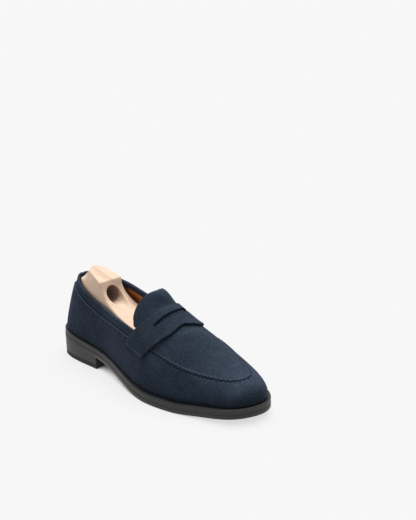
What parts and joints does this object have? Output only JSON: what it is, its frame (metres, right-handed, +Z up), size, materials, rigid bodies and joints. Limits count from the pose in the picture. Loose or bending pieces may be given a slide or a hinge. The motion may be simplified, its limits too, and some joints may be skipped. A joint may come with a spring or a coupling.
{
  "type": "penny loafer",
  "caption": "Right-foot suede loafer with saddle strap and stitched apron on a welted leather sole with a stacked heel, holding a hinged wooden shoe tree.",
  "frame": {"origin": "on the ground, under the middle of the sole's plan box", "axes": "+X towards the toe, +Y towards the inner side of the foot, +Z up from the ground"},
  "size_m": [0.3012, 0.1069, 0.107],
  "materials": {
    "suede": "suede, matt, short nap, dark navy",
    "lining": "smooth vegetable-tanned calf, orange tan",
    "sole_edge": "leather sole, edge inked dark grey-brown and waxed",
    "top_piece": "matt black rubber",
    "insole_leather": "undyed bend leather",
    "stiffener": "stiffened board or canvas",
    "cork": "ground cork in binder",
    "steel": "zinc-plated steel",
    "brass": "brass, satin",
    "thread": "waxed thread, dark navy",
    "welt_thread": "waxed thread, dark grey",
    "beech": "unvarnished beech, sanded"
  },
  "bodies": {
    "shoe": {"outsole": "sole_edge", "midsole": "sole_edge", "welt": "sole_edge", "heel_rand": "sole_edge", "heel_lift_upper": "sole_edge", "heel_lift_middle": "sole_edge", "heel_lift_lower": "sole_edge", "heel_top_piece": "top_piece", "heel_nails": "brass", "cork_filler": "cork", "shank": "steel", "insole": "insole_leather", "insole_rib": "stiffener", "sock_lining": "lining", "vamp_wall": "suede", "apron": "suede", "tongue": "suede", "tongue_lining": "lining", "saddle_strap": "suede", "topline_collar": "suede", "quarter_lining": "lining", "vamp_lining": "lining", "heel_counter": "stiffener", "toe_puff": "stiffener", "side_interlining": "stiffener", "apron_stitches": "thread", "collar_stitches": "thread", "strap_stitches": "thread", "welt_stitches": "welt_thread", "tree_forepart": "beech", "tree_hinge_front_leaf": "steel", "tree_hinge_pin": "steel", "tree_front_screws": "brass"},
    "tree_heel": {"tree_heel_block": "beech", "tree_hinge_rear_leaf": "steel", "tree_rear_screws": "brass"}
  },
  "joints": [
    {"name": "tree_heel_fold", "type": "hinge", "parent": "shoe", "child": "tree_heel", "pos_m": [0.004, -0.006, 0.0255], "axis": [0, 1, 0], "range_deg": [0, 28]}
  ]
}
